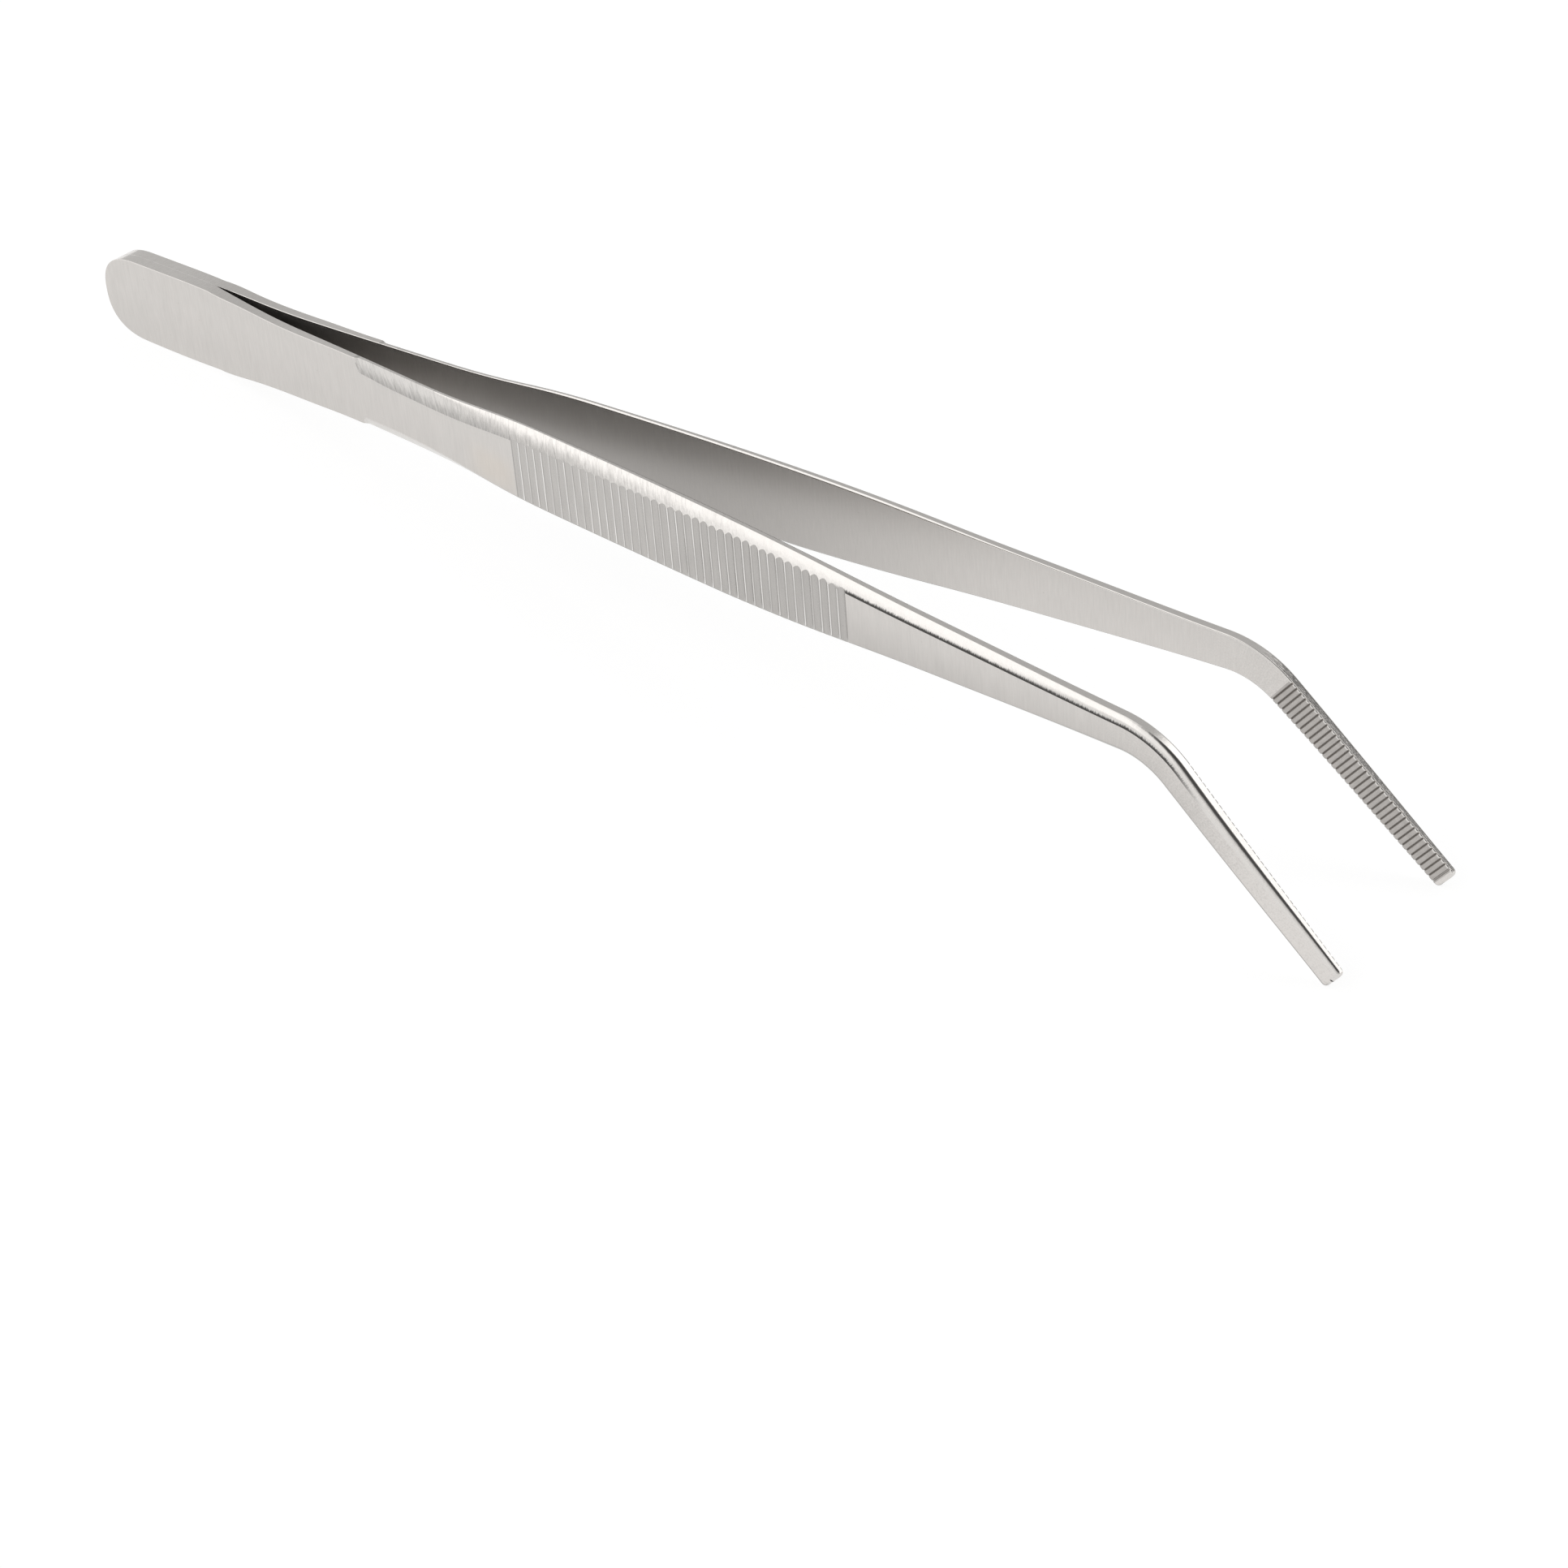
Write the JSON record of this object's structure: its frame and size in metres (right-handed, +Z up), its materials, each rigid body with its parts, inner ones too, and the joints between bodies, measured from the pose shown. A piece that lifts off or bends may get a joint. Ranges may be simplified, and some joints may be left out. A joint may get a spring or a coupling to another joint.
{
  "type": "tweezers",
  "caption": "Long spring tweezers of ground stainless steel, with cross-grooved finger grips and fine toothed jaws bent down at the tips.",
  "frame": {"origin": "on the surface that the tool stands on, below the middle of its length, half way between the blades", "axes": "+X from the heel towards the tips, +Y towards the rear blade, +Z up; the heel and both tips stand on Z = 0"},
  "size_m": [0.2004, 0.0226, 0.0211],
  "materials": {
    "blade_steel": "ground satin, with polished shoulders",
    "weld_steel": "fused steel inside the heel"
  },
  "bodies": {
    "heel": {"heel_front": "blade_steel", "heel_rear": "blade_steel", "spot_weld_1": "weld_steel", "spot_weld_2": "weld_steel"},
    "front_arm": {"arm_front": "blade_steel"},
    "rear_arm": {"arm_rear": "blade_steel"}
  },
  "joints": [
    {"name": "front_arm_flex", "type": "hinge", "parent": "heel", "child": "front_arm", "pos_m": [-0.05827, -0.0014, 0.00846], "axis": [-0.0787, 0, 0.9969], "range_deg": [0, 3.76], "stiffness_Nm_per_rad": 4},
    {"name": "rear_arm_flex", "type": "hinge", "parent": "heel", "child": "rear_arm", "pos_m": [-0.05827, 0.0014, 0.00846], "axis": [0.0787, 0, -0.9969], "range_deg": [0, 3.76], "stiffness_Nm_per_rad": 4}
  ]
}
